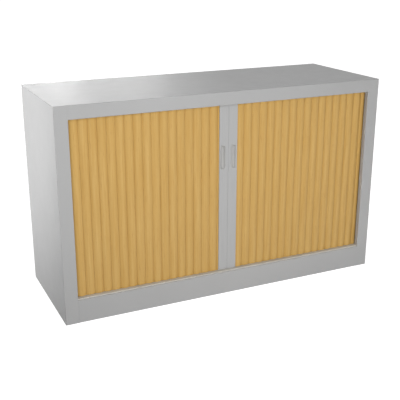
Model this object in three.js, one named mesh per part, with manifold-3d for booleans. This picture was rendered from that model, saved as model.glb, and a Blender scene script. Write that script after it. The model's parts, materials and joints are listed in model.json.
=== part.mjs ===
// Low steel cabinet with two tambour shutters that part in the middle and run back into its side walls.
// Millimetres. X to the right, Y to the back, Z up, origin on the floor under the centre of the cabinet.
import * as THREE from "three";
import { mergeVertices } from "three/addons/utils/BufferGeometryUtils.js";
import Module from "manifold-3d";

const wasm = await Module();
wasm.setup();

// Carcass of folded steel sheet
const cabinetWidth = 1200;
const cabinetDepth = 430;
const cabinetHeight = 726;
const sheet = 1;
const bendRadius = 1.5;
const stileWidth = 45;
const topRailHeight = 44.5;
const plinthHeight = 80.5;
const stileReturn = 17.5;
const plinthReturn = 4;
const rearReturn = 25;
const topRearFlange = 20;
const plateLap = 10;
const sideFootFlange = 12;
const plinthFootFlange = 25;
const plinthLip = 12;
const floorDrop = 5;
const floorFlange = 20;

// Clearances
const seatGap = 0.3;
const weldSeam = 0.05;
const runningGap = 0.5;
const liftGap = 2.6;
const overrun = 5;

// Curtain of crowned slats joined by thin living hinges
const slatPitch = 30;
const slatThickness = 8;
const slatShoulder = 4.2;
const tongueThickness = 3.5;
const hingeWeb = 1.2;
const hingeSlit = 0.4;
const curtainRecess = 20.5;
const sidePocketGap = 1.5;
const backPocketGap = 1.7;
const cornerRadius = 38;
const gripTongue = 3;
const leftFirstStrip = 5.2;
const rightFirstStrip = 26.7;
const tailReach = 25;

// Tracks that guide the curtains round the cabinet
const trackWall = 1.5;
const trackWeb = 1.6;
const trackHeight = 8;
const grooveInside = 3.5;
const grooveOutside = 4;
const upperTrackLift = 0.7;
const backRun = 170;
const nosingOverlap = 0.6;
const nosingRadius = 2;

// Lead rails with finger pulls, guide shoes and travel buffers
const leadRailWidth = 33.85;
const leadRailDepth = 18;
const leadRailRecess = 20;
const leadRailWall = 1.6;
const leadRailRadius = 0.5;
const leadRailInnerRadius = 0.4;
const gripSlotDepth = 3.5;
const parkGap = 2.5;
const pullWidth = 17;
const pullHeight = 84;
const pullCorner = 6.5;
const pullDepth = 6;
const pullWall = 1.2;
const pullSlopeWidth = 4;
const pullLip = 1.5;
const pullLipThickness = 0.8;
const pullLipChamfer = 0.4;
const pullFromMeetingEdge = 20.2;
const pullCentreHeight = 498;
const shoePlug = 15;
const shoeTongueLength = 24;
const shoeTongueWidth = 6.5;
const shoeChamfer = 2;
const bufferThickness = 6.5;
const bufferDepth = 12;
const bufferHeight = 14.5;
const bufferSetback = 1;
const bufferCorner = 2;

// Inner walls, shelf and shelf clips
const linerStandoff = 10.5;
const linerClearance = 1.4;
const linerFlange = 15;
const slotWidth = 3.2;
const slotHeight = 14;
const slotPitch = 32;
const firstSlotHeight = 90;
const lastSlotDrop = 60;
const slotColumnInset = 40;
const shelfFrontGap = 8;
const shelfRearGap = 4;
const shelfEdge = 25;
const shelfHem = 10;
const shelfEndFlange = 15;
const clipWidth = 12;
const clipThickness = 1.6;
const clipLedge = 14;
const clipDrop = 18;
const clipBlade = 2.6;
const clipHookDrop = 5;

// Base channels and levelling feet
const channelWidth = 60;
const footFromChannelSide = 26;
const footFromChannelEnd = 40;
const footStemRadius = 5;
const footStemTopGap = 2.5;
const footBoreRadius = 5.4;
const footPadRadius = 18;
const footPadChamfer = 2;
const footPadRim = 5;
const footPadCone = 5;
const footCollarRadius = 8;
const footCollarHeight = 4;
const footLift = 0.5;
const spannerRadius = 7.8;
const spannerHeight = 6;
const driverSlotWidth = 1.6;
const driverSlotDepth = 2.5;
const nutRadius = 9.8;
const nutLength = 20;
const accessHoleRadius = 6;

// How finely round shapes are divided
const bendSteps = 3;
const cornerSteps = 10;
const roundSteps = 4;
const turnSteps = 24;
const hexagonSides = 6;
const hingeHalvings = 40;
const crownSteps = 10;

// Levels and planes that several pieces share
const halfWidth = cabinetWidth / 2;
const frontY = -cabinetDepth / 2;
const rearY = cabinetDepth / 2;
const openingHalf = halfWidth - stileWidth;
const openingTop = cabinetHeight - topRailHeight;
const topUnderside = cabinetHeight - sheet;
const floorTop = plinthHeight - floorDrop;
const lowerTrackBase = floorTop + seatGap;
const lowerTrackTop = lowerTrackBase + trackHeight;
const upperTrackBottom = openingTop + sheet + upperTrackLift;
const upperTrackBase = upperTrackBottom + trackHeight;
const ceilingUnderside = upperTrackBase + seatGap;
const innerHalfWidth = halfWidth - sheet - seatGap;
const innerFrontY = frontY + sheet + seatGap;
const backPanelFrontY = rearY - sheet - seatGap - sheet;
const innerRearY = backPanelFrontY - seatGap;

// The curtain's hinge line, which is the back face of its slats, and the centres of its two corners
const hingeFrontY = frontY + curtainRecess + slatThickness;
const hingeSideX = halfWidth - sheet - sidePocketGap - slatThickness;
const hingeRearY = backPanelFrontY - backPocketGap - slatThickness;
const cornerX = hingeSideX - cornerRadius;
const frontCornerY = hingeFrontY + cornerRadius;
const rearCornerY = hingeRearY - cornerRadius;
const tongueBottom = lowerTrackBase + trackWeb + runningGap;
const tongueTop = upperTrackBase - trackWeb - liftGap;
const bodyBottom = lowerTrackTop + runningGap;
const bodyTop = upperTrackBottom - runningGap;

// Lead rail, its travel and the buffers that end it
const railInner = seatGap / 2;
const railOuter = railInner + leadRailWidth;
const railFrontY = frontY + leadRailRecess;
const railRearY = railFrontY + leadRailDepth;
const railHollowOuter = railOuter - gripSlotDepth - leadRailWall;
const travel = cornerX - parkGap - railOuter;
const bufferFace = railOuter + travel + seatGap;
const trackInnerFace = grooveInside + trackWall;
const trackOuterFace = grooveOutside + trackWall;

// Inner walls
const linerOuter = hingeSideX - linerStandoff;
const linerInner = linerOuter - sheet;
const linerReach = Math.sqrt(
  (cornerRadius - trackInnerFace - linerClearance) ** 2 - (linerOuter - cornerX) ** 2,
);
const linerFrontY = frontCornerY - linerReach;
const linerRearY = rearCornerY + linerReach;
const slotColumns = [linerFrontY + slotColumnInset, linerRearY - slotColumnInset];
const slotRun = ceilingUnderside - lastSlotDrop - floorTop - firstSlotHeight;
const slotsPerColumn = Math.floor(slotRun / slotPitch) + 1;
const shelfSlotNumber = Math.ceil(slotsPerColumn / 2);

// Base
const channelOuter = innerHalfWidth - sheet - seatGap;
const channelInner = channelOuter - channelWidth;
const channelTop = floorTop - sheet - seatGap;
const channelFrontY = frontY + plinthFootFlange + seatGap;
const channelRearY = innerRearY - sheet - seatGap;
const footX = channelInner + footFromChannelSide;
const footRows = [channelFrontY + footFromChannelEnd, channelRearY - footFromChannelEnd];
const nutTop = channelTop - sheet - weldSeam;

const steel = new THREE.MeshStandardMaterial({ color: 0xb6b6b6, roughness: 0.45, metalness: 0.35 });
const innerSteel = new THREE.MeshStandardMaterial({ color: 0xb0b0b0, roughness: 0.5, metalness: 0.3 });
const beech = new THREE.MeshStandardMaterial({ color: 0xc5a061, roughness: 0.55, metalness: 0 });
const railSteel = new THREE.MeshStandardMaterial({ color: 0xb4b1ac, roughness: 0.4, metalness: 0.4 });
const greyPlastic = new THREE.MeshStandardMaterial({ color: 0xb9b7b2, roughness: 0.5, metalness: 0 });
const nylon = new THREE.MeshStandardMaterial({ color: 0x3a3a3c, roughness: 0.5, metalness: 0 });
const rubber = new THREE.MeshStandardMaterial({ color: 0x222224, roughness: 0.8, metalness: 0 });
const zinc = new THREE.MeshStandardMaterial({ color: 0xc2c5c8, roughness: 0.35, metalness: 0.8 });

const point = (x, y) => new THREE.Vector2(x, y);

// A closed three.js geometry as a solid that can be joined and cut
function solidOf(geometry) {
  const bare = geometry.clone();
  bare.deleteAttribute("normal");
  bare.deleteAttribute("uv");
  const merged = mergeVertices(bare);
  return new wasm.Manifold(
    new wasm.Mesh({
      numProp: 3,
      vertProperties: new Float32Array(merged.attributes.position.array),
      triVerts: new Uint32Array(merged.index.array),
    }),
  );
}

function geometryOf(solid) {
  const mesh = solid.getMesh();
  const geometry = new THREE.BufferGeometry();
  geometry.setAttribute("position", new THREE.BufferAttribute(mesh.vertProperties, 3));
  geometry.setIndex(new THREE.BufferAttribute(mesh.triVerts, 1));
  geometry.computeVertexNormals();
  return geometry;
}

function join(geometries) {
  return geometryOf(geometries.map(solidOf).reduce((whole, next) => whole.add(next)));
}

function cut(geometry, tools) {
  return geometryOf(tools.map(solidOf).reduce((whole, tool) => whole.subtract(tool), solidOf(geometry)));
}

const shapeOf = (outline) => (outline instanceof THREE.Shape ? outline : new THREE.Shape(outline));

// An outline in X and Y, raised from one level to another.
// Both levels are set without rounding, so that pieces which share a level meet there.
function upright(outline, from, to) {
  const geometry = new THREE.ExtrudeGeometry(shapeOf(outline), { depth: to - from, bevelEnabled: false });
  const position = geometry.attributes.position;
  for (let i = 0; i < position.count; i += 1) position.setZ(i, position.getZ(i) > 0 ? to : from);
  return geometry;
}

// An outline in Y and Z, drawn out along X
function alongX(outline, from, to) {
  const turn = new THREE.Matrix4().makeBasis(
    new THREE.Vector3(0, 1, 0),
    new THREE.Vector3(0, 0, 1),
    new THREE.Vector3(1, 0, 0),
  );
  return upright(outline, from, to).applyMatrix4(turn);
}

// An outline in X and Z, drawn out along Y
function alongY(outline, from, to) {
  const turn = new THREE.Matrix4().makeBasis(
    new THREE.Vector3(1, 0, 0),
    new THREE.Vector3(0, 0, 1),
    new THREE.Vector3(0, -1, 0),
  );
  return upright(outline, -to, -from).applyMatrix4(turn);
}

function block(x, y, z) {
  return upright([point(x[0], y[0]), point(x[1], y[0]), point(x[1], y[1]), point(x[0], y[1])], z[0], z[1]);
}

function drum(radius, from, to) {
  const geometry = new THREE.CylinderGeometry(radius, radius, to - from, turnSteps);
  return geometry.rotateX(Math.PI / 2).translate(0, 0, (from + to) / 2);
}

// An outline on the right side, or mirrored to the left and turned round to run the same way about
function mirrored(outline, side) {
  const moved = outline.map((p) => point(side * p.x, p.y));
  return side < 0 ? moved.reverse() : moved;
}

function arc(centre, radius, from, to, steps) {
  return Array.from({ length: steps + 1 }, (_, i) => {
    const angle = from + ((to - from) * i) / steps;
    return point(centre.x + radius * Math.cos(angle), centre.y + radius * Math.sin(angle));
  });
}

function roundedRectangle(x, y, radius) {
  const corners = [
    [point(x[1] - radius, y[0] + radius), -Math.PI / 2],
    [point(x[1] - radius, y[1] - radius), 0],
    [point(x[0] + radius, y[1] - radius), Math.PI / 2],
    [point(x[0] + radius, y[0] + radius), Math.PI],
  ];
  return corners.flatMap(([centre, from]) => arc(centre, radius, from, from + Math.PI / 2, roundSteps));
}

// A closed body through rings of as many points each, from front to back.
// Each ring is an outline in X and Z at one depth in Y.
function lofted(rings) {
  const count = rings[0].outline.length;
  const vertices = rings.flatMap(({ outline, y }) => outline.flatMap((p) => [p.x, y, p.y]));
  const faces = [];
  for (let ring = 0; ring + 1 < rings.length; ring += 1) {
    for (let i = 0; i < count; i += 1) {
      const here = ring * count + i;
      const next = ring * count + ((i + 1) % count);
      faces.push(here, next + count, next, here, here + count, next + count);
    }
  }
  const last = (rings.length - 1) * count;
  for (let i = 1; i + 1 < count; i += 1) faces.push(0, i, i + 1, last, last + i + 1, last + i);
  const geometry = new THREE.BufferGeometry();
  geometry.setAttribute("position", new THREE.Float32BufferAttribute(vertices, 3));
  return geometry.setIndex(faces);
}

// The section of a sheet folded at right angles along the line of its show face.
// The metal lies to the left of the line where metalSide is 1, and to the right where it is -1.
function folded(faceLine, metalSide) {
  const face = [];
  const back = [];
  faceLine.forEach((corner, i) => {
    const before = faceLine[i - 1] ?? corner;
    const after = faceLine[i + 1] ?? corner;
    const along = after.clone().sub(before).normalize();
    if (before === corner || after === corner) {
      face.push(corner);
      back.push(point(corner.x - along.y * metalSide * sheet, corner.y + along.x * metalSide * sheet));
      return;
    }
    const into = corner.clone().sub(before).normalize();
    const out = after.clone().sub(corner).normalize();
    const turn = Math.sign(into.cross(out));
    const faceRadius = turn === metalSide ? bendRadius : bendRadius - sheet;
    const backRadius = turn === metalSide ? bendRadius - sheet : bendRadius;
    const centre = corner.clone().addScaledVector(into, -faceRadius).addScaledVector(out, faceRadius);
    const start = Math.atan2(-out.y, -out.x);
    const end = start + (turn * Math.PI) / 2;
    face.push(...arc(centre, faceRadius, start, end, bendSteps));
    back.push(...arc(centre, backRadius, start, end, bendSteps));
  });
  return [...face, ...back.reverse()];
}

// Side wall with the stile folded round its front, a return that lines the opening, and a rear return
function sidePanel(side) {
  const wall = [
    point(openingHalf, frontY),
    point(halfWidth, frontY),
    point(halfWidth, rearY),
    point(halfWidth - rearReturn, rearY),
  ];
  const plain = mirrored(folded(wall, 1), side);
  const lined = mirrored(folded([point(openingHalf, frontY + stileReturn), ...wall], 1), side);
  const footFlange = [
    point(halfWidth - sideFootFlange, frontY + sheet / 2),
    point(halfWidth - sheet / 2, frontY + sheet / 2),
    point(halfWidth - sheet / 2, rearY - sheet / 2),
    point(halfWidth - sideFootFlange, rearY - sheet / 2),
  ];
  return join([
    upright(plain, 0, plinthHeight),
    upright(lined, plinthHeight, openingTop),
    upright(plain, openingTop, topUnderside - weldSeam),
    upright(mirrored(footFlange, side), 0, sheet),
  ]);
}

// Top with the front rail and its return folded down between the stiles, and a rear flange
function topPanel() {
  const railHalf = openingHalf - weldSeam;
  const rearHalf = halfWidth - rearReturn - seatGap;
  const frontEdge = frontY + bendRadius;
  const rearEdge = rearY - bendRadius;
  const half = [
    point(railHalf, frontEdge),
    point(railHalf, frontY),
    point(halfWidth, frontY),
    point(halfWidth, rearY),
    point(rearHalf, rearY),
    point(rearHalf, rearEdge),
  ];
  const plate = [...half, ...mirrored(half, -1)];
  const rail = [
    point(frontY + stileReturn, openingTop),
    point(frontY, openingTop),
    point(frontY, cabinetHeight),
    point(frontY + plateLap, cabinetHeight),
  ];
  const rear = [
    point(rearY - plateLap, cabinetHeight),
    point(rearY, cabinetHeight),
    point(rearY, cabinetHeight - topRearFlange),
  ];
  return join([
    upright(plate, topUnderside, cabinetHeight),
    alongX(folded(rail, -1), -railHalf, railHalf),
    alongX(folded(rear, -1), -rearHalf, rearHalf),
  ]);
}

// Plinth front between the stiles, with a short return at its top and a lipped flange on the floor
function frontPlinth() {
  const face = [
    point(frontY + plinthReturn, plinthHeight),
    point(frontY, plinthHeight),
    point(frontY, 0),
    point(frontY + plinthFootFlange, 0),
    point(frontY + plinthFootFlange, plinthLip),
  ];
  const half = openingHalf - weldSeam;
  return alongX(folded(face, 1), -half, half);
}

// A plate with a rim on all four sides, which fits inside the outer walls
function tray(plateLow, rimLow, rimHigh) {
  const x = [-innerHalfWidth, innerHalfWidth];
  const y = [innerFrontY, innerRearY];
  const hollow = rimLow < plateLow ? [rimLow - overrun, plateLow] : [plateLow + sheet, rimHigh + overrun];
  return cut(block(x, y, [rimLow, rimHigh]), [
    block([x[0] + sheet, x[1] - sheet], [y[0] + sheet, y[1] - sheet], hollow),
  ]);
}

// Compartment floor, with a hole over each levelling foot to reach its screw
function floorPanel() {
  const holes = [-1, 1].flatMap((side) =>
    footRows.map((y) =>
      drum(accessHoleRadius, floorTop - sheet - overrun, floorTop + overrun).translate(side * footX, y, 0),
    ),
  );
  return cut(tray(floorTop - sheet, floorTop - floorFlange, floorTop), holes);
}

function ceilingPanel() {
  return tray(ceilingUnderside, ceilingUnderside, topUnderside - seatGap);
}

function backPanel() {
  const x = [-innerHalfWidth, innerHalfWidth];
  return block(x, [backPanelFrontY, backPanelFrontY + sheet], [sheet + seatGap, topUnderside - seatGap]);
}

function innerBackPanel() {
  const low = floorTop + seatGap;
  const high = ceilingUnderside - seatGap;
  const front = linerRearY + seatGap;
  return block([-linerInner, linerInner], [front, front + sheet], [low, high]);
}

const slotLevel = (number) => floorTop + firstSlotHeight + number * slotPitch;

// Inner side wall between compartment and curtain, with two columns of slots for shelf clips
function liner(side) {
  const face = [
    point(linerOuter - linerFlange, linerFrontY),
    point(linerOuter, linerFrontY),
    point(linerOuter, linerRearY),
    point(linerOuter - linerFlange, linerRearY),
  ];
  const wall = upright(mirrored(folded(face, 1), side), floorTop + seatGap, ceilingUnderside - seatGap);
  const x = [side * (linerInner - overrun), side * (linerOuter + overrun)].sort((a, b) => a - b);
  const slots = slotColumns.flatMap((y) =>
    Array.from({ length: slotsPerColumn }, (_, i) =>
      block(x, [y - slotWidth / 2, y + slotWidth / 2], [slotLevel(i), slotLevel(i) + slotHeight]),
    ),
  );
  return cut(wall, slots);
}

// The curtain's route, moved outwards by offset: along the front, round the corner,
// along the side and the back
function route(offset) {
  const radius = cornerRadius + offset;
  return [
    point(seatGap, frontCornerY - radius),
    ...arc(point(cornerX, frontCornerY), radius, -Math.PI / 2, 0, cornerSteps),
    ...arc(point(cornerX, rearCornerY), radius, 0, Math.PI / 2, cornerSteps),
    point(cornerX - backRun, rearCornerY + radius),
  ];
}

// A band that follows the route between two offsets
const band = (inner, outer) => [...route(outer), ...route(inner).reverse()];

// Front of the lower track: it meets the plinth's return, and its lip hides the curtain's lower edge
function nosing(side) {
  const front = frontY + plinthReturn + seatGap;
  const lipTop = bodyBottom + nosingOverlap;
  const lipBack = railFrontY - runningGap;
  const back = hingeFrontY - grooveOutside;
  const centre = point(front + nosingRadius, lipTop - nosingRadius);
  const outline = [
    point(front, lowerTrackBase),
    ...arc(centre, nosingRadius, Math.PI, Math.PI / 2, roundSteps),
    point(lipBack, lipTop),
    point(lipBack, lowerTrackTop),
    point(back, lowerTrackTop),
    point(back, lowerTrackBase),
  ];
  const ends = [side * seatGap, side * (openingHalf - seatGap)].sort((a, b) => a - b);
  return alongX(outline, ends[0], ends[1]);
}

function track(side, lower) {
  const base = lower ? lowerTrackBase : upperTrackBottom;
  const body = upright(mirrored(band(-trackInnerFace, trackOuterFace), side), base, base + trackHeight);
  const grooveFrom = lower ? base + trackWeb : base - overrun;
  const grooveTo = lower ? base + trackHeight + overrun : base + trackHeight - trackWeb;
  const groove = upright(mirrored(band(-grooveInside, grooveOutside), side), grooveFrom, grooveTo);
  const centreEnd = block(
    [-seatGap - weldSeam, seatGap + weldSeam],
    [hingeFrontY - grooveOutside, hingeFrontY + grooveInside],
    [grooveFrom, grooveTo],
  );
  const backEndX = [side * (cornerX - backRun - overrun), side * (cornerX - backRun + weldSeam)];
  const backEnd = block(
    backEndX.sort((a, b) => a - b),
    [hingeRearY - grooveInside, hingeRearY + grooveOutside],
    [grooveFrom, grooveTo],
  );
  const channel = lower ? join([body, nosing(side)]) : body;
  return cut(channel, [groove, centreEnd, backEnd]);
}

// Where the hinge line turns from the corner into the side pocket, measured from the middle of the front
const cornerEnd = cornerX + (cornerRadius * Math.PI) / 2;

// A point of the hinge line, by the distance along it from the middle of the front
function hingeLineAt(distance) {
  if (distance < cornerX) return point(distance, hingeFrontY);
  if (distance < cornerEnd) {
    const angle = (distance - cornerX) / cornerRadius - Math.PI / 2;
    return point(cornerX + cornerRadius * Math.cos(angle), frontCornerY + cornerRadius * Math.sin(angle));
  }
  return point(hingeSideX, frontCornerY + Math.min(distance - cornerEnd, rearCornerY - frontCornerY));
}

// Hinges between stiff slats: each lies one slat's width from the last in a straight line,
// and there are enough slats for the tail to reach into the side pocket
function hingePoints(firstStrip) {
  let distance = railOuter + seatGap;
  const points = [hingeLineAt(distance)];
  const slats = Math.ceil((cornerEnd + tailReach - distance - firstStrip) / slatPitch);
  for (let i = 0; i <= slats; i += 1) {
    const width = i === 0 ? firstStrip : slatPitch;
    let low = distance;
    let high = distance + 2 * width;
    for (let halving = 0; halving < hingeHalvings; halving += 1) {
      const middle = (low + high) / 2;
      if (hingeLineAt(middle).distanceTo(points[i]) < width) low = middle;
      else high = middle;
    }
    distance = low;
    points.push(hingeLineAt(distance));
  }
  return points;
}

// Height of a slat's crowned face over the hinge line, at a share of its width
const crownHeight = (share) => slatThickness - (slatThickness - slatShoulder) * (2 * share - 1) ** 2;

// The curtain's section, from its edge strip in the lead rail to its tail in the side pocket.
// The first strip is the outer end of a slat, cut off where the lead rail grips it.
function curtainSection(hinges, heightAt, steps) {
  const outer = [
    point(hinges[0].x - gripTongue, hingeFrontY),
    point(hinges[0].x - gripTongue, hingeFrontY - tongueThickness),
    point(hinges[0].x, hingeFrontY - tongueThickness),
  ];
  for (let i = 0; i + 1 < hinges.length; i += 1) {
    const along = hinges[i + 1].clone().sub(hinges[i]);
    const length = along.length();
    along.normalize();
    const outwards = point(along.y, -along.x);
    const at = (distance, height) =>
      hinges[i].clone().addScaledVector(along, distance).addScaledVector(outwards, height);
    const start = i === 0 ? 0 : hingeSlit / 2;
    const end = i + 2 === hinges.length ? length : length - hingeSlit / 2;
    const cutShare = i === 0 ? 1 - length / slatPitch : 0;
    if (i > 0) outer.push(at(start, hingeWeb));
    for (let step = 0; step <= steps; step += 1) {
      const share = step / steps;
      outer.push(at(start + (end - start) * share, heightAt(cutShare + (1 - cutShare) * share)));
    }
    if (end < length) outer.push(at(end, hingeWeb));
  }
  return [...outer, ...hinges.slice(1).reverse()];
}

function curtain(side) {
  const hinges = hingePoints(side < 0 ? leftFirstStrip : rightFirstStrip);
  const slats = curtainSection(hinges, crownHeight, crownSteps);
  const tongue = curtainSection(hinges, () => tongueThickness, 1);
  return join([
    upright(mirrored(slats, side), bodyBottom, bodyTop),
    upright(mirrored(tongue, side), tongueBottom, tongueTop),
  ]);
}

const pullX = [pullFromMeetingEdge - pullWidth / 2, pullFromMeetingEdge + pullWidth / 2];
const pullZ = [pullCentreHeight - pullHeight / 2, pullCentreHeight + pullHeight / 2];
const grown = (span, by) => [span[0] - by, span[1] + by];

// Hollow lead rail with a slot that grips the curtain's edge and a cut-out for the finger pull
function leadRail(side) {
  const slotFront = hingeFrontY - tongueThickness - seatGap;
  const slotRear = hingeFrontY + seatGap;
  const slot = [
    point(railOuter, slotFront),
    point(railOuter - gripSlotDepth, slotFront),
    point(railOuter - gripSlotDepth, slotRear),
    point(railOuter, slotRear),
  ];
  const outline = roundedRectangle([railInner, railOuter], [railFrontY, railRearY], leadRailRadius);
  const firstCorner = outline.slice(0, roundSteps + 1);
  const section = shapeOf(mirrored([...firstCorner, ...slot, ...outline.slice(roundSteps + 1)], side));
  const hollow = roundedRectangle(
    [railInner + leadRailWall, railHollowOuter],
    [railFrontY + leadRailWall, railRearY - leadRailWall],
    leadRailInnerRadius,
  );
  section.holes.push(new THREE.Path(mirrored(hollow, side)));
  const opening = mirrored(roundedRectangle(pullX, pullZ, pullCorner), side);
  return cut(upright(section, bodyBottom, bodyTop), [
    alongY(opening, railFrontY - overrun, railFrontY + leadRailWall + leadRailRadius),
  ]);
}

// Finger pull: a moulded dish whose sides slope all the way in, and a thin lip on the face of the lead rail
function fingerPull(side) {
  const ring = (inset, y) => {
    const outline = roundedRectangle(grown(pullX, -inset), grown(pullZ, -inset), pullCorner - inset);
    return { outline: mirrored(outline, side), y };
  };
  const lipBack = railFrontY - weldSeam;
  const lipFront = lipBack - pullLipThickness;
  const back = railFrontY + pullDepth;
  const mouth = seatGap + pullWall;
  const lip = lofted([
    ring(pullLipChamfer - pullLip, lipFront),
    ring(-pullLip, lipFront + pullLipChamfer),
    ring(-pullLip, lipBack),
  ]);
  const dish = lofted([
    ring(seatGap, lipFront + pullLipChamfer),
    ring(seatGap, railFrontY + pullWall),
    ring(seatGap + pullSlopeWidth, back),
  ]);
  const hollow = lofted([
    ring(mouth, lipFront - overrun),
    ring(mouth, railFrontY),
    ring(mouth + pullSlopeWidth, back - pullWall),
  ]);
  return cut(join([lip, dish]), [hollow]);
}

// Guide shoe: a plug in the end of the lead rail and a tongue that runs in the track
function guideShoe(side, lower) {
  const hollowX = [railInner + leadRailWall, railHollowOuter];
  const plug = roundedRectangle(
    grown(hollowX, -seatGap),
    [railFrontY + leadRailWall + seatGap, railRearY - leadRailWall - seatGap],
    leadRailInnerRadius,
  );
  const middleX = (hollowX[0] + hollowX[1]) / 2;
  const middleY = hingeFrontY + (grooveInside - grooveOutside) / 2;
  const x = [middleX - shoeTongueLength / 2, middleX + shoeTongueLength / 2];
  const y = [middleY - shoeTongueWidth / 2, middleY + shoeTongueWidth / 2];
  const tongue = [
    point(x[0] + shoeChamfer, y[0]),
    point(x[1] - shoeChamfer, y[0]),
    point(x[1], y[0] + shoeChamfer),
    point(x[1], y[1] - shoeChamfer),
    point(x[1] - shoeChamfer, y[1]),
    point(x[0] + shoeChamfer, y[1]),
    point(x[0], y[1] - shoeChamfer),
    point(x[0], y[0] + shoeChamfer),
  ];
  const plugZ = lower ? [bodyBottom, bodyBottom + shoePlug] : [bodyTop - shoePlug, bodyTop];
  const tongueZ = lower ? [tongueBottom, bodyBottom + shoeChamfer] : [bodyTop - shoeChamfer, tongueTop];
  return join([
    upright(mirrored(plug, side), plugZ[0], plugZ[1]),
    upright(mirrored(tongue, side), tongueZ[0], tongueZ[1]),
  ]);
}

// Rubber block inside the bend of the track, which stops the open lead rail
function buffer(side, lower) {
  const x = [bufferFace, bufferFace + bufferThickness];
  const front = hingeFrontY + trackInnerFace + bufferSetback;
  const outline = mirrored(roundedRectangle(x, [front, front + bufferDepth], bufferCorner), side);
  const low = lower ? floorTop + seatGap : ceilingUnderside - seatGap - bufferHeight;
  return upright(outline, low, low + bufferHeight);
}

const shelfFrontY = linerFrontY + sheet + shelfFrontGap;
const shelfRearY = linerRearY - sheet - shelfRearGap;
const clipTop = slotLevel(shelfSlotNumber) + clipThickness;
const shelfTop = clipTop + seatGap + shelfEndFlange;

// Adjustable shelf with folded and hemmed edges at front and back, and a flange at each end
function shelf() {
  const low = shelfTop - shelfEdge;
  const half = linerInner - seatGap - clipThickness - seatGap;
  const face = [
    point(shelfFrontY + shelfHem, low),
    point(shelfFrontY, low),
    point(shelfFrontY, shelfTop),
    point(shelfRearY, shelfTop),
    point(shelfRearY, low),
    point(shelfRearY - shelfHem, low),
  ];
  const y = [shelfFrontY + bendRadius, shelfRearY - bendRadius];
  const endFlange = (x) => block(x, y, [shelfTop - shelfEndFlange, shelfTop - sheet / 2]);
  return join([
    alongX(folded(face, -1), -half, half),
    endFlange([-half, -half + sheet]),
    endFlange([half - sheet, half]),
  ]);
}

// Shelf clip: a hook through a slot of the inner wall and a ledge under the end of the shelf
function shelfClip(side) {
  const seat = linerInner - seatGap;
  const bracket = [
    point(seat, clipTop),
    point(seat - clipLedge, clipTop),
    point(seat - clipLedge, clipTop - clipThickness),
    point(seat - clipThickness, clipTop - clipThickness),
    point(seat - clipThickness, clipTop - clipDrop),
    point(seat, clipTop - clipDrop),
  ];
  const hookBack = linerOuter + seatGap;
  const hook = [
    point(seat - clipThickness / 2, clipTop + clipThickness),
    point(hookBack + clipThickness, clipTop + clipThickness),
    point(hookBack + clipThickness, clipTop - clipThickness - clipHookDrop),
    point(hookBack, clipTop - clipThickness - clipHookDrop),
    point(hookBack, clipTop),
    point(seat - clipThickness / 2, clipTop),
  ];
  const tab = [
    point(seat - clipThickness, clipTop - clipThickness),
    point(seat, clipTop - clipThickness),
    point(seat, clipTop + clipThickness),
    point(seat - clipThickness, clipTop + clipThickness),
  ];
  return join([
    alongY(mirrored(bracket, side), -clipWidth / 2, clipWidth / 2),
    alongY(mirrored(tab, side), -clipBlade / 2, clipBlade / 2),
    alongY(mirrored(hook, side), -clipBlade / 2, clipBlade / 2),
  ]);
}

// Channel under each end of the floor, with a hole for each levelling foot
function baseChannel(side) {
  const low = sheet + seatGap;
  const face = [
    point(channelInner, low),
    point(channelInner, channelTop),
    point(channelOuter, channelTop),
    point(channelOuter, low),
  ];
  const channel = alongY(mirrored(folded(face, -1), side), channelFrontY, channelRearY);
  const holes = footRows.map((y) =>
    drum(footBoreRadius, channelTop - sheet - overrun, channelTop + overrun).translate(side * footX, y, 0),
  );
  return cut(channel, holes);
}

// Ring or disc turned about the upright axis from an outline of radius and height
function turned(outline) {
  return new THREE.LatheGeometry(outline, turnSteps).rotateX(Math.PI / 2);
}

const wholeTurn = (radius, steps) => arc(point(0, 0), radius, 0, 2 * Math.PI, steps).slice(1);

// Long hexagon nut that takes the stem of a levelling foot
function levellingNut() {
  const section = shapeOf(wholeTurn(nutRadius, hexagonSides));
  section.holes.push(new THREE.Path(wholeTurn(footBoreRadius, turnSteps)));
  return upright(section, nutTop - nutLength, nutTop);
}

const footRim = footLift + footPadRim;
const footCollar = footRim + footPadCone;
const footCollarTop = footCollar + footCollarHeight;

// Pad of a levelling foot, with a collar moulded round the end of the stem
function levellingFoot() {
  return turned([
    point(0, footLift),
    point(footPadRadius - footPadChamfer, footLift),
    point(footPadRadius, footLift + footPadChamfer),
    point(footPadRadius, footRim),
    point(footCollarRadius, footCollar),
    point(footCollarRadius, footCollarTop),
    point(footStemRadius + weldSeam, footCollarTop),
    point(footStemRadius + weldSeam, footRim),
    point(0, footRim),
  ]);
}

// Stem of a levelling foot: flats for a spanner over the collar, and a driver slot in its top
function levellingStem() {
  const stemTop = channelTop - footStemTopGap;
  const flats = upright(
    wholeTurn(spannerRadius, hexagonSides),
    footCollarTop + weldSeam,
    footCollarTop + weldSeam + spannerHeight,
  );
  const slot = block(
    [-footCollarRadius, footCollarRadius],
    [-driverSlotWidth / 2, driverSlotWidth / 2],
    [stemTop - driverSlotDepth, stemTop + overrun],
  );
  return cut(join([drum(footStemRadius, footRim + weldSeam, stemTop), flats]), [slot]);
}

const group = new THREE.Group();

function add(name, geometry, material, place = [0, 0, 0]) {
  const mesh = new THREE.Mesh(geometry, material);
  mesh.name = name;
  mesh.position.set(...place);
  group.add(mesh);
}

add("top_panel", topPanel(), steel);
add("front_plinth", frontPlinth(), steel);
add("floor_panel", floorPanel(), innerSteel);
add("ceiling_panel", ceilingPanel(), innerSteel);
add("back_panel", backPanel(), steel);
add("inner_back_panel", innerBackPanel(), innerSteel);
add("shelf", shelf(), innerSteel);

const rows = [
  ["front", 0],
  ["rear", 1],
];

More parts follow.
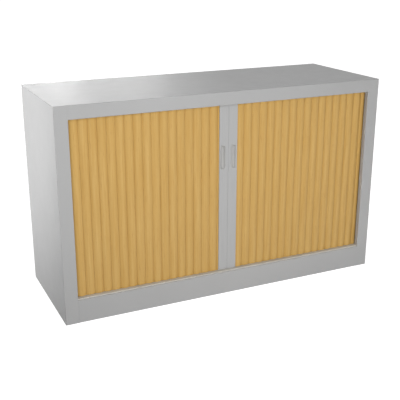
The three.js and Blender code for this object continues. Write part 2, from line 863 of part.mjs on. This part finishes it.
[
  ["left", -1],
  ["right", 1],
].forEach(([label, side]) => {
  add(`${label}_side_panel`, sidePanel(side), steel);
  add(`${label}_liner`, liner(side), innerSteel);
  add(`${label}_base_channel`, baseChannel(side), zinc);
  add(`${label}_lower_track`, track(side, true), greyPlastic);
  add(`${label}_upper_track`, track(side, false), greyPlastic);
  add(`${label}_curtain`, curtain(side), beech);
  add(`${label}_lead_rail`, leadRail(side), railSteel);
  add(`${label}_finger_pull`, fingerPull(side), greyPlastic);
  add(`${label}_lower_shoe`, guideShoe(side, true), nylon);
  add(`${label}_upper_shoe`, guideShoe(side, false), nylon);
  add(`${label}_lower_buffer`, buffer(side, true), rubber);
  add(`${label}_upper_buffer`, buffer(side, false), rubber);
  rows.forEach(([row, index]) => {
    const footPlace = [side * footX, footRows[index], 0];
    add(`${label}_${row}_shelf_clip`, shelfClip(side), zinc, [0, slotColumns[index], 0]);
    add(`${label}_${row}_levelling_nut`, levellingNut(), zinc, footPlace);
    add(`${label}_${row}_levelling_foot`, levellingFoot(), nylon, footPlace);
    add(`${label}_${row}_levelling_stem`, levellingStem(), zinc, footPlace);
  });
});

export default group;
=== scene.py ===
"""Looks of the tambour door cabinet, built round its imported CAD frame.

Metres, X to the right, Y to the back and Z up, as in the frame.
"""

import json
import math

import bmesh
import bpy
from mathutils import Matrix, Vector


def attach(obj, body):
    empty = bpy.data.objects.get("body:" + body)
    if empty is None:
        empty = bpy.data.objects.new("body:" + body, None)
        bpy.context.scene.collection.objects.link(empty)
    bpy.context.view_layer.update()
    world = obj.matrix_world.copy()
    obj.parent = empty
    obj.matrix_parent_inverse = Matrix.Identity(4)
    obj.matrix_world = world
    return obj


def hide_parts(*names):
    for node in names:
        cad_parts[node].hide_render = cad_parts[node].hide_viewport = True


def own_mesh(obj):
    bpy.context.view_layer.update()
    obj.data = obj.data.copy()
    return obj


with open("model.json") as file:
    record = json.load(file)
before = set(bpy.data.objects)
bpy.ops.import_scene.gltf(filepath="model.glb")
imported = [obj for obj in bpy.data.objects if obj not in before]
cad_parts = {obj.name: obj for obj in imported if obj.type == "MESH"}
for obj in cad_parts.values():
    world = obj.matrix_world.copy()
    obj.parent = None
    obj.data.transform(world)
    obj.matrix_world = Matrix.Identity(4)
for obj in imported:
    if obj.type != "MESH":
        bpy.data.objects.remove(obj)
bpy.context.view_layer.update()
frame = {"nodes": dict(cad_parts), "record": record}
NODES = frame["nodes"]
CABINET = "cabinet"
SIDES = {"left": -1, "right": 1}

# The curtain's section, and the line of its hinges round the corner of the track
HINGE_FRONT_Y = -0.1865
HINGE_SIDE_X = 0.5895
CORNER_X = 0.5515
CORNER_RADIUS = 0.038
CORNER_Y = HINGE_FRONT_Y + CORNER_RADIUS
CORNER_END = CORNER_X + CORNER_RADIUS * math.pi / 2
SLAT_PITCH = 0.030
SLAT_THICKNESS = 0.008
SLAT_SHOULDER = 0.0042
TONGUE_THICKNESS = 0.0035
HINGE_WEB = 0.0012
HINGE_SLIT = 0.0004
EDGE_START = 0.0343
EDGE_TONGUE = 0.003
FIRST_STRIP = {"left": 0.0052, "right": 0.0267}
SLATS = 20
CROWN_STEPS = 20
HINGE_HALVINGS = 40
CURTAIN_LEVELS = {"tongue": (0.0779, 0.6870), "body": (0.0843, 0.6827)}
CURTAIN_CUT_X = 0.5500

# The lead rails' front, and the finger pull on the right side: its outline, corner radius, the room
# round it in its rail, and its wall, lip and dish
RAIL_FRONT_Y = -0.195
PULL_X = (0.0117, 0.0287)
PULL_Z = (0.456, 0.540)
PULL_CORNER = 0.0065
PULL_SEAT = 0.0003
PULL_WALL = 0.0012
PULL_LIP = 0.0015
PULL_LIP_HEIGHT = 0.0008
PULL_DEPTH = 0.006
PULL_SLOPE_WIDTH = 0.004
PULL_STANDOFF = 0.00005
PULL_LEAST_CORNER = 0.0009

# Edges that turn by more than this stay sharp
SHARP_DEGREES = 35
PULL_SHARP_DEGREES = 50


# Meshes


def add_mesh(name, bm, sharp_degrees=SHARP_DEGREES):
    """A new object from a bmesh, shaded smooth except over sharp edges."""
    bmesh.ops.recalc_face_normals(bm, faces=bm.faces)
    mesh = bpy.data.meshes.new(name)
    bm.to_mesh(mesh)
    bm.free()
    mesh.polygons.foreach_set("use_smooth", [True] * len(mesh.polygons))
    mesh.set_sharp_from_angle(angle=math.radians(sharp_degrees))
    made = bpy.data.objects.new(name, mesh)
    bpy.context.scene.collection.objects.link(made)
    return made


def loft(loops):
    """A closed body through rings of as many points each, capped at both ends."""
    bm = bmesh.new()
    rings = [[bm.verts.new(p) for p in loop] for loop in loops]
    for below, above in zip(rings, rings[1:]):
        for i in range(len(below)):
            j = (i + 1) % len(below)
            bm.faces.new((below[i], below[j], above[j], above[i]))
    bm.faces.new(rings[0])
    bm.faces.new(rings[-1])
    return bm


def ring_xz(x, z, radius, y, steps=8):
    """A rounded rectangle in X and Z, at one depth."""
    corners = [
        (x[1] - radius, z[0] + radius, -90),
        (x[1] - radius, z[1] - radius, 0),
        (x[0] + radius, z[1] - radius, 90),
        (x[0] + radius, z[0] + radius, 180),
    ]
    points = []
    for cx, cz, start in corners:
        for i in range(steps + 1):
            angle = math.radians(start + 90 * i / steps)
            points.append((cx + radius * math.cos(angle), y, cz + radius * math.sin(angle)))
    return points


def hinge_line_at(distance):
    """A point of the hinge line, by the distance along it from the middle of the front."""
    if distance < CORNER_X:
        return Vector((distance, HINGE_FRONT_Y))
    if distance < CORNER_END:
        angle = (distance - CORNER_X) / CORNER_RADIUS - math.pi / 2
        return Vector(
            (CORNER_X + CORNER_RADIUS * math.cos(angle), CORNER_Y + CORNER_RADIUS * math.sin(angle))
        )
    return Vector((HINGE_SIDE_X, CORNER_Y + distance - CORNER_END))


def hinge_points(first_strip):
    """Hinges between stiff slats, each one slat's width from the last in a straight line."""
    distance = EDGE_START
    points = [hinge_line_at(distance)]
    for i in range(SLATS + 1):
        width = SLAT_PITCH if i else first_strip
        low, high = distance, distance + 2 * width
        for _ in range(HINGE_HALVINGS):
            middle = (low + high) / 2
            if (hinge_line_at(middle) - points[-1]).length < width:
                low = middle
            else:
                high = middle
        distance = low
        points.append(hinge_line_at(distance))
    return points


def crown_height(share):
    """Height of a slat's outer face over the hinge line, at a share of its width."""
    return SLAT_THICKNESS - (SLAT_THICKNESS - SLAT_SHOULDER) * (2 * share - 1) ** 2


def tongue_height(_share):
    """Height of the tongues' outer face, the same all over a slat's width."""
    return TONGUE_THICKNESS


def curtain_section(hinges, height_at):
    """The curtain's section on the right side, as points in X and Y.

    Its first strip is the end of a slat, cut off at the lead rail.
    """
    front = HINGE_FRONT_Y - TONGUE_THICKNESS
    outer = [
        Vector((hinges[0].x - EDGE_TONGUE, HINGE_FRONT_Y)),
        Vector((hinges[0].x - EDGE_TONGUE, front)),
        Vector((hinges[0].x, front)),
    ]
    last = len(hinges) - 2
    for i, (here, there) in enumerate(zip(hinges, hinges[1:])):
        along = there - here
        length = along.length
        along.normalize()
        outwards = Vector((along.y, -along.x))
        start = HINGE_SLIT / 2 if i else 0
        end = length if i == last else length - HINGE_SLIT / 2
        if i:
            outer.append(here + along * start + outwards * HINGE_WEB)
        cut_share = 0 if i else 1 - length / SLAT_PITCH
        for step in range(CROWN_STEPS + 1):
            share = step / CROWN_STEPS
            height = height_at(cut_share + (1 - cut_share) * share)
            outer.append(here + along * (start + (end - start) * share) + outwards * height)
        if i < last:
            outer.append(here + along * end + outwards * HINGE_WEB)
    return outer + list(reversed(hinges[1:]))


def curtain_mesh(side):
    """The whole curtain of one side as one closed body, with thin tongues above and below."""
    sign = SIDES[side]
    hinges = hinge_points(FIRST_STRIP[side])
    body = curtain_section(hinges, crown_height)
    tongue = curtain_section(hinges, tongue_height)
    low, high = CURTAIN_LEVELS["tongue"]
    body_low, body_high = CURTAIN_LEVELS["body"]
    lower_end = [(tongue, low), (tongue, body_low), (body, body_low)]
    upper_end = [(body, body_high), (tongue, body_high), (tongue, high)]
    return loft([[(sign * p.x, p.y, z) for p in section] for section, z in lower_end + upper_end])


def curtain_part(side, name, outer_part):
    """The curtain's run along the front, or the rest of it round the corner."""
    sign = SIDES[side]
    bm = curtain_mesh(side)
    whole = bm.verts[:] + bm.edges[:] + bm.faces[:]
    cut = bmesh.ops.bisect_plane(
        bm,
        geom=whole,
        plane_co=(sign * CURTAIN_CUT_X, 0, 0),
        plane_no=(sign, 0, 0),
        clear_inner=outer_part,
        clear_outer=not outer_part,
    )
    edges = [e for e in cut["geom_cut"] if isinstance(e, bmesh.types.BMEdge)]
    bmesh.ops.holes_fill(bm, edges=edges)
    return add_mesh(name, bm)


# Materials


def linear(*rgb):
    """Colour values of 0 to 255 as a linear colour."""
    shares = [v / 255 for v in rgb]
    return (*(s / 12.92 if s <= 0.04045 else ((s + 0.055) / 1.055) ** 2.4 for s in shares), 1.0)


def scaled(colour, factor):
    """A linear colour made darker or lighter, up to white."""
    return (*(min(1.0, c * factor) for c in colour[:3]), 1.0)


# The colour sockets of a Mix node, by their places in its lists
MIX_SHARE, MIX_FIRST, MIX_SECOND = 0, 6, 7
MIX_RESULT = 2


class Surface:
    """A node material for one finish."""

    def __init__(self, name, roughness, specular=0.5, metallic=0.0):
        self.material = bpy.data.materials.new(name)
        self.material.use_nodes = True
        self.tree = self.material.node_tree
        self.shader = self.tree.nodes["Principled BSDF"]
        self.set(Roughness=roughness, Metallic=metallic)
        self.shader.inputs["Specular IOR Level"].default_value = specular
        self.place = self.node("ShaderNodeTexCoord").outputs["Object"]

    def node(self, kind, inputs=None, **settings):
        made = self.tree.nodes.new(kind)
        for key, value in settings.items():
            setattr(made, key, value)
        for key, value in (inputs or {}).items():
            self.feed(made.inputs[key], value)
        return made

    def feed(self, socket, value):
        if isinstance(value, bpy.types.NodeSocket):
            self.tree.links.new(value, socket)
        else:
            socket.default_value = value

    def set(self, **values):
        for key, value in values.items():
            self.feed(self.shader.inputs[key.replace("_", " ")], value)

    def noise(self, scale, stretch=(1, 1, 1), detail=3.0, roughness=0.5):
        """Noise of so many cells a metre, drawn out along the axes."""
        place = self.node(
            "ShaderNodeMapping", {"Vector": self.place, "Scale": tuple(scale * s for s in stretch)}
        ).outputs["Vector"]
        return self.node(
            "ShaderNodeTexNoise",
            {"Vector": place, "Scale": 1.0, "Detail": detail, "Roughness": roughness},
        ).outputs["Fac"]

    def ramp(self, value, low, high, start=0.35, end=0.65):
        """A value between start and end taken to between low and high, and held beyond them."""
        return self.node(
            "ShaderNodeMapRange",
            {"Value": value, "From Min": start, "From Max": end, "To Min": low, "To Max": high},
        ).outputs["Result"]

    def mix(self, share, first, second, blend="MIX"):
        made = self.node("ShaderNodeMix", data_type="RGBA", blend_type=blend)
        for key, value in ((MIX_SHARE, share), (MIX_FIRST, first), (MIX_SECOND, second)):
            self.feed(made.inputs[key], value)
        return made.outputs[MIX_RESULT]

    def maths(self, operation, *values):
        made = self.node("ShaderNodeMath", operation=operation)
        for socket, value in zip(made.inputs, values):
            self.feed(socket, value)
        return made.outputs[0]

    def edges(self, reach):
        """The normal of edges rounded by a reach in metres, and 1 on them, broken up as wear is."""
        rounded = self.node("ShaderNodeBevel", {"Radius": reach}, samples=6).outputs["Normal"]
        flat = self.node("ShaderNodeNewGeometry").outputs["Normal"]
        turn = self.node("ShaderNodeVectorMath", operation="DOT_PRODUCT")
        self.feed(turn.inputs[0], rounded)
        self.feed(turn.inputs[1], flat)
        near = self.ramp(turn.outputs["Value"], 1, 0, 0.72, 0.98)
        return rounded, self.maths("MULTIPLY", near, self.ramp(self.noise(70, detail=5.0), 0.2, 1))

    def bump(self, *layers, normal=None):
        """Layers of height value and depth in metres, one over the other."""
        for height, depth in layers:
            inputs = {"Height": height, "Strength": 1.0, "Distance": depth}
            if normal is not None:
                inputs["Normal"] = normal
            normal = self.node("ShaderNodeBump", inputs).outputs["Normal"]
        self.feed(self.shader.inputs["Normal"], normal)


def powder_coat(name, colour, roughness=0.34, specular=0.08, depth=0.00002):
    """Satin powder coat: cloudy colour, fine flake, orange peel, and edges lighter, partly rubbed
    wear and partly a painted highlight.
    """
    s = Surface(name, roughness, specular)
    clouds = s.noise(2.5, detail=4.0)
    flake = s.noise(1600, detail=1.0)
    base = s.mix(s.ramp(clouds, 0, 1), scaled(colour, 0.965), scaled(colour, 1.03))
    base = s.mix(s.ramp(flake, 0, 0.10, 0.55, 0.75), base, linear(225, 225, 225))
    rounded, wear_and_highlight = s.edges(0.0016)
    # Edges lighter: partly rubbed wear, partly a painted highlight along them
    base = s.mix(s.maths("MULTIPLY", wear_and_highlight, 0.3), base, linear(205, 205, 204))
    texture = s.ramp(s.noise(26, detail=4.0), roughness - 0.02, roughness + 0.02)
    rough = s.maths("SUBTRACT", texture, s.maths("MULTIPLY", wear_and_highlight, 0.06))
    s.set(Base_Color=base, Roughness=rough)
    s.bump((s.noise(480, detail=2.0), depth), normal=rounded)
    return s.material


# Painted shade: what the foil's colour is multiplied by down towards the joints, where shade falls
# between the slats
GROOVE_PAINTED_SHADE = (0.92, 0.89, 0.81, 1.0)


def beech_foil(name):
    """Beech foil on plastic slats: upright grain, short flecks, and painted shade darkening towards
    the joints.
    """
    s = Surface(name, 0.44, 0.4)
    grain = s.noise(150, (1, 1, 0.035), detail=5.0, roughness=0.6)
    broad = s.noise(36, (1, 1, 0.05), detail=3.0)
    flecks = s.noise(520, (1, 1, 0.06), detail=2.0)
    base = s.mix(s.ramp(grain, 0, 1, 0.3, 0.7), linear(188, 149, 81), linear(200, 165, 102))
    base = s.mix(s.ramp(broad, 0, 0.25), base, linear(187, 147, 76))
    base = s.mix(s.ramp(flecks, 0, 0.4, 0.62, 0.74), base, linear(156, 113, 58))
    # Painted shade: each slat's face darkens from its crown down towards the joints
    depth = s.node("ShaderNodeSeparateXYZ", {"Vector": s.place}).outputs["Y"]
    groove_shade = s.ramp(depth, 0, 1, HINGE_FRONT_Y - SLAT_THICKNESS, HINGE_FRONT_Y - SLAT_SHOULDER)
    base = s.mix(groove_shade, base, GROOVE_PAINTED_SHADE, blend="MULTIPLY")
    s.set(Base_Color=base, Roughness=s.ramp(grain, 0.40, 0.50))
    s.bump((grain, 0.00004), (flecks, 0.00003))
    return s.material


def satin_rail(name):
    """Silver lead rail with fine upright drawing lines."""
    s = Surface(name, 0.34, 0.5)
    lines = s.noise(2200, (1, 1, 0.004), detail=2.0)
    clouds = s.noise(4, detail=3.0)
    base = s.mix(s.ramp(lines, 0, 1), linear(162, 162, 162), linear(174, 174, 174))
    base = s.mix(s.ramp(clouds, 0, 0.3), base, linear(161, 161, 161))
    s.set(Base_Color=base, Roughness=s.ramp(lines, 0.31, 0.39))
    s.bump((lines, 0.00001))
    return s.material


def moulded(name, colour, roughness, grain=900, depth=0.00003, spread=0.06):
    """Moulded plastic or rubber with a fine grain."""
    s = Surface(name, roughness, 0.45)
    fine = s.noise(grain, detail=2.0)
    broad = s.noise(18, detail=3.0)
    base = s.mix(s.ramp(broad, 0, 1), scaled(colour, 1 - spread), scaled(colour, 1 + spread))
    s.set(Base_Color=base, Roughness=s.ramp(fine, roughness - 0.05, roughness + 0.05))
    s.bump((fine, depth))
    return s.material


def zinc_plate(name):
    """Bright zinc with a faint spangle."""
    s = Surface(name, 0.36, 0.5, metallic=1.0)
    place = s.node("ShaderNodeMapping", {"Vector": s.place, "Scale": (140, 140, 140)})
    cells = s.node("ShaderNodeTexVoronoi", {"Vector": place.outputs["Vector"], "Scale": 1.0})
    spangle = s.node("ShaderNodeSeparateColor", {"Color": cells.outputs["Color"]}).outputs["Red"]
    base = s.mix(spangle, linear(182, 186, 192), linear(205, 208, 212))
    s.set(Base_Color=base, Roughness=s.ramp(spangle, 0.28, 0.42, 0, 1))
    s.bump((s.noise(700), 0.00001))
    return s.material


PAINT_GREY = linear(170, 170, 170)
INNER_GREY = linear(168, 168, 168)
TRACK_GREY = linear(183, 180, 173)
PULL_GREY = linear(166, 165, 163)
MATERIALS = {
    "cabinet_steel": powder_coat("cabinet_powder_coat", PAINT_GREY),
    "inner_steel": powder_coat("inner_powder_coat", INNER_GREY, roughness=0.46),
    "slats": beech_foil("beech_foil"),
    "lead_rail": satin_rail("satin_silver"),
    "track_plastic": moulded("track_plastic", TRACK_GREY, 0.5),
    "pull_plastic": moulded("pull_plastic", PULL_GREY, 0.36, depth=0.00001, spread=0.03),
    "nylon": moulded("black_nylon", linear(52, 52, 55), 0.45),
    "rubber": moulded("black_rubber", linear(36, 36, 37), 0.7, grain=1400, depth=0.00006),
    "zinc": zinc_plate("zinc_plate"),
}
SLOT_OF_NODE = {part["node"]: part["material_slot"] for part in frame["record"]["subparts"]}


def finish(piece, slot):
    """Give a piece its material slot's finish, and no other."""
    piece.data.materials.clear()
    piece.data.materials.append(MATERIALS[slot])


for node_name, node_object in NODES.items():
    finish(node_object, SLOT_OF_NODE[node_name])


def place(piece, body, slot, *replaced):
    """Finish a piece, put it on its body, and hide the CAD nodes that it stands for."""
    finish(piece, slot)
    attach(piece, body)
    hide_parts(*replaced)


# Curtains: the run along the front goes with its shutter,
# and the rest fills the corner of the track

for side, sign in SIDES.items():
    run = curtain_part(side, f"{side}_curtain_front_run", outer_part=False)
    place(run, f"{side}_shutter", "slats", f"{side}_curtain")
    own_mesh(run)
    corner = curtain_part(side, f"{side}_curtain_in_corner", outer_part=True)
    place(corner, CABINET, "slats", f"{side}_curtain")


# Finger pulls: a rounded lip round a dish whose sides slope into its floor


def finger_pull(side):
    """One closed cup: up its back and outer wall, round the lip, and down into the dish."""
    sign = SIDES[side]
    seat = RAIL_FRONT_Y - PULL_STANDOFF
    lip_front = seat - PULL_LIP_HEIGHT
    back = RAIL_FRONT_Y + PULL_DEPTH
    floor = back - PULL_WALL
    mouth = PULL_SEAT + PULL_WALL
    foot = mouth + PULL_SLOPE_WIDTH
    steps = [
        (PULL_SEAT + PULL_SLOPE_WIDTH, back),
        (PULL_SEAT, RAIL_FRONT_Y + PULL_WALL),
        (PULL_SEAT, seat),
        (-PULL_LIP, seat),
        (-PULL_LIP, lip_front + 0.0005),
        (-PULL_LIP + 0.0002, lip_front + 0.00015),
        (-PULL_LIP + 0.0006, lip_front),
        (mouth - 0.0009, lip_front),
        (mouth - 0.0004, lip_front + 0.00012),
        (mouth - 0.0001, lip_front + 0.0004),
        (mouth + 0.0002, lip_front + 0.0009),
        (foot - 0.0007, floor - 0.0008),
        (foot - 0.0002, floor - 0.00035),
        (foot + 0.0003, floor - 0.00008),
        (foot + 0.0010, floor),
    ]
    loops = []
    for inset, y in steps:
        x = (PULL_X[0] + inset, PULL_X[1] - inset)
        z = (PULL_Z[0] + inset, PULL_Z[1] - inset)
        ring = ring_xz(x, z, max(PULL_CORNER - inset, PULL_LEAST_CORNER), y)
        loops.append([(sign * px, py, pz) for px, py, pz in ring])
    return add_mesh(f"{side}_finger_pull_cup", loft(loops), PULL_SHARP_DEGREES)


for side in SIDES:
    place(finger_pull(side), f"{side}_shutter", "pull_plastic", f"{side}_finger_pull")


# Camera: its place, its directions and its lens in millimetres, fitted to the photo's corners

LENS = 66.79
SENSOR_WIDTH = 36.0
EYE = Vector((-1.12672, -2.37078, 1.16389))
FORWARD = Vector((0.40248699, 0.85846154, -0.31788049))
RIGHT = Vector((0.905413, -0.424532, 0.0)).normalized()
camera_data = bpy.data.cameras.new("camera")
camera_data.lens = LENS
camera_data.sensor_width = SENSOR_WIDTH
camera = bpy.data.objects.new("camera", camera_data)
bpy.context.scene.collection.objects.link(camera)
axes = Matrix((RIGHT, RIGHT.cross(FORWARD), -FORWARD)).transposed().to_4x4()
camera.matrix_world = Matrix.Translation(EYE) @ axes
bpy.context.scene.camera = camera


# Studio


def seen_directly(tree):
    """1 for rays that show the background itself, in view, in a reflection or through glass."""
    rays = tree.nodes.new("ShaderNodeLightPath")
    shown = rays.outputs["Is Camera Ray"]
    for key in ("Is Glossy Ray", "Is Transmission Ray"):
        either = tree.nodes.new("ShaderNodeMath")
        either.operation = "MAXIMUM"
        tree.links.new(shown, either.inputs[0])
        tree.links.new(rays.outputs[key], either.inputs[1])
        shown = either.outputs[0]
    return shown


# The floor's reach, its own colour, and how white it shows; and the world's light on the object
FLOOR_RADIUS = 40
FLOOR_WHITE = 0.35
FLOOR_GLOW = 0.96
WORLD_LEVEL = 0.35

world = bpy.data.worlds.new("studio")
bpy.context.scene.world = world
world.use_nodes = True
background = world.node_tree.nodes["Background"]
background.inputs["Color"].default_value = (1.0, 1.0, 1.0, 1.0)
level = world.node_tree.nodes.new("ShaderNodeMapRange")
level.inputs["To Min"].default_value = WORLD_LEVEL
level.inputs["To Max"].default_value = 1.0
world.node_tree.links.new(seen_directly(world.node_tree), level.inputs["Value"])
world.node_tree.links.new(level.outputs["Result"], background.inputs["Strength"])


def studio_floor():
    """A wide pale disc that takes the object's shadow and shows white."""
    bm = bmesh.new()
    bmesh.ops.create_circle(bm, cap_ends=True, segments=64, radius=FLOOR_RADIUS)
    floor = add_mesh("studio_floor", bm)
    material = bpy.data.materials.new("studio_floor")
    material.use_nodes = True
    tree = material.node_tree
    tree.nodes.remove(tree.nodes["Principled BSDF"])
    matt = tree.nodes.new("ShaderNodeBsdfDiffuse")
    matt.inputs["Color"].default_value = (FLOOR_WHITE, FLOOR_WHITE, FLOOR_WHITE, 1.0)
    glow = tree.nodes.new("ShaderNodeEmission")
    share = tree.nodes.new("ShaderNodeMath")
    share.operation = "MULTIPLY"
    share.inputs[1].default_value = FLOOR_GLOW
    tree.links.new(seen_directly(tree), share.inputs[0])
    tree.links.new(share.outputs[0], glow.inputs["Strength"])
    both = tree.nodes.new("ShaderNodeAddShader")
    tree.links.new(matt.outputs[0], both.inputs[0])
    tree.links.new(glow.outputs[0], both.inputs[1])
    tree.links.new(both.outputs[0], tree.nodes["Material Output"].inputs["Surface"])
    floor.data.materials.append(material)


studio_floor()


CENTRE = (0.0, 0.0, 0.36)
SPOT_BLEND = 0.6
SPOT_RADIUS = 0.25


def hang(name, lamp, at, towards, mirrored):
    """A lamp placed in the studio and turned towards a point, shown in reflections or not."""
    hung = bpy.data.objects.new(name, lamp)
    bpy.context.scene.collection.objects.link(hung)
    hung.location = at
    hung.rotation_mode = "QUATERNION"
    hung.rotation_quaternion = (Vector(towards) - Vector(at)).to_track_quat("-Z", "Y")
    hung.visible_camera = False
    hung.visible_glossy = mirrored


def softbox(name, at, width, height, power, towards=CENTRE, spread=180, mirrored=False):
    """A lamp with a flat rectangular face, in metres and watts, spreading so many degrees."""
    lamp = bpy.data.lights.new(name, "AREA")
    lamp.shape = "RECTANGLE"
    lamp.size, lamp.size_y, lamp.energy = width, height, power
    lamp.spread = math.radians(spread)
    hang(name, lamp, at, towards, mirrored)


def spot(name, at, towards, degrees, power):
    """A cone of light with a soft edge."""
    lamp = bpy.data.lights.new(name, "SPOT")
    lamp.spot_size, lamp.spot_blend = math.radians(degrees), SPOT_BLEND
    lamp.shadow_soft_size, lamp.energy = SPOT_RADIUS, power
    hang(name, lamp, at, towards, True)


# Only the spot and the rear strips show in reflections, so that nothing clips in the paint
softbox("near_left", (-0.9, -1.4, 1.1), 0.8, 0.5, 8.2)
softbox("near_right", (0.25, -2.2, 0.67), 0.8, 0.6, 22.4)
softbox("front_low", (-0.6, -2.4, 0.12), 0.8, 0.2, 1.6)
# A narrow beam along the front, for the inner face of the right stile
softbox("along_front", (-1.2, -0.6, 0.38), 0.12, 0.6, 0.045, towards=(0.7, -0.2, 0.38), spread=10)
spot("left", (-3.6, 0.2, 1.3), (-0.6, 0.38, 0.84), 34, 434)
softbox("back", (0.3, 4.5, 0.4), 3.0, 0.7, 50)
softbox("right", (4.5, 0.8, 0.4), 2.0, 0.7, 20)
# Strips behind the cabinet, whose reflection fades along its top from left to right
for x, power in ((0.6, 9.0), (1.2, 14.6), (1.8, 7.2), (2.4, 7.6), (3.0, 1.8)):
    softbox("rear_strip", (x, 7.0, 1.95), 0.6, 1.6, power, mirrored=True)

bpy.context.scene.view_settings.view_transform = "Standard"
